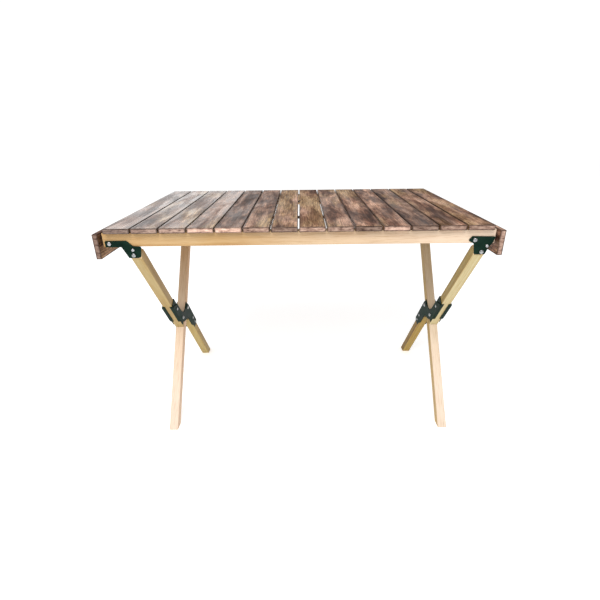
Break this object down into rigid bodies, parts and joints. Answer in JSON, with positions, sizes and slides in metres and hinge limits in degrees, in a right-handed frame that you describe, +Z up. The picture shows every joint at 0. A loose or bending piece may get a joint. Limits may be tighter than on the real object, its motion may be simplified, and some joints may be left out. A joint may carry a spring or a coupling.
{
  "type": "camp kitchen table",
  "caption": "Folding camp table: a roll-up top of dark stained slats on two pale wooden rails, carried by crossed wooden legs with green steel brackets.",
  "frame": {"origin": "on the floor, under the middle of the top", "axes": "+X along the table towards its right end, -Y towards the front rail, +Z up"},
  "size_m": [0.953, 0.577, 0.63],
  "materials": {
    "stained_wood": "dark walnut stain, satin varnish with rubbed lighter patches",
    "pale_wood": "clear matt varnish on pale straight-grained wood",
    "coated_steel": "dark green baked enamel, semi-gloss",
    "bright_steel": "zinc-plated, bright domed heads",
    "webbing": "black woven polyester webbing"
  },
  "bodies": {
    "front_frame": {"front_rail": "pale_wood", "front_left_bracket": "coated_steel", "front_left_bracket_bolts": "bright_steel", "front_right_bracket": "coated_steel", "front_right_bracket_bolts": "bright_steel"},
    "rear_frame": {"rear_rail": "pale_wood", "rear_left_bracket": "coated_steel", "rear_left_bracket_bolts": "bright_steel", "rear_right_bracket": "coated_steel", "rear_right_bracket_bolts": "bright_steel"},
    "top": {"slat_01": "stained_wood", "slat_02": "stained_wood", "slat_03": "stained_wood", "slat_04": "stained_wood", "slat_05": "stained_wood", "slat_06": "stained_wood", "slat_07": "stained_wood", "slat_08": "stained_wood", "slat_09": "stained_wood", "slat_10": "stained_wood", "slat_11": "stained_wood", "slat_12": "stained_wood", "slat_13": "stained_wood", "slat_14": "stained_wood", "strap_staples": "bright_steel", "front_webbing_strap": "webbing", "rear_webbing_strap": "webbing"},
    "left_outer_leg": {"left_outer_leg_upper": "pale_wood", "left_outer_leg_lower": "pale_wood", "left_upper_channel": "coated_steel", "left_lower_channel": "coated_steel", "left_cross_bolt": "bright_steel", "left_clamp_bolt": "bright_steel", "left_lap_rivets": "bright_steel", "left_knee_plates": "coated_steel", "front_left_leg_pivot_bolt": "bright_steel"},
    "left_inner_leg": {"left_inner_leg": "pale_wood", "rear_left_leg_pivot_bolt": "bright_steel", "left_wear_plate": "coated_steel", "left_wear_plate_screw": "bright_steel"},
    "left_end": {"left_end_slat": "stained_wood", "left_strap_tabs": "webbing"},
    "right_outer_leg": {"right_outer_leg_upper": "pale_wood", "right_outer_leg_lower": "pale_wood", "right_upper_channel": "coated_steel", "right_lower_channel": "coated_steel", "right_cross_bolt": "bright_steel", "right_clamp_bolt": "bright_steel", "right_lap_rivets": "bright_steel", "right_knee_plates": "coated_steel", "front_right_leg_pivot_bolt": "bright_steel"},
    "right_inner_leg": {"right_inner_leg": "pale_wood", "rear_right_leg_pivot_bolt": "bright_steel", "right_wear_plate": "coated_steel", "right_wear_plate_screw": "bright_steel"},
    "right_end": {"right_end_slat": "stained_wood", "right_strap_tabs": "webbing"}
  },
  "joints": [
    {"name": "scissor_fold", "type": "hinge", "parent": "front_frame", "child": "rear_frame", "pos_m": [0, 0, 0.299], "axis": [1, 0, 0], "range_deg": [0, 45]},
    {"name": "top_lift", "type": "slide", "parent": "front_frame", "child": "top", "axis": [0, 0, 1], "range_m": [0, 0.24]},
    {"name": "left_leg_fold", "type": "hinge", "parent": "front_frame", "child": "left_outer_leg", "pos_m": [-0.391, -0.276, 0.564], "axis": [0, -1, 0], "range_deg": [0, 90]},
    {"name": "left_cross_pivot", "type": "hinge", "parent": "left_outer_leg", "child": "left_inner_leg", "pos_m": [-0.391, 0, 0.299], "axis": [1, 0, 0], "range_deg": [0, 45.01]},
    {"name": "right_leg_fold", "type": "hinge", "parent": "front_frame", "child": "right_outer_leg", "pos_m": [0.431, -0.276, 0.564], "axis": [0, 1, 0], "range_deg": [0, 76]},
    {"name": "right_cross_pivot", "type": "hinge", "parent": "right_outer_leg", "child": "right_inner_leg", "pos_m": [0.431, 0, 0.299], "axis": [1, 0, 0], "range_deg": [0, 45.01]},
    {"name": "left_end_slat_swing", "type": "hinge", "parent": "top", "child": "left_end", "pos_m": [-0.464, 0, 0.6175], "axis": [0, 1, 0], "range_deg": [0, 90]},
    {"name": "right_end_slat_swing", "type": "hinge", "parent": "top", "child": "right_end", "pos_m": [0.464, 0, 0.6175], "axis": [0, -1, 0], "range_deg": [0, 90]}
  ],
  "couplings": [
    {"joint": "top_lift", "follows": "scissor_fold", "m_per_rad": 0.3},
    {"joint": "left_cross_pivot", "follows": "scissor_fold", "ratio": 1},
    {"joint": "right_cross_pivot", "follows": "scissor_fold", "ratio": 1}
  ]
}
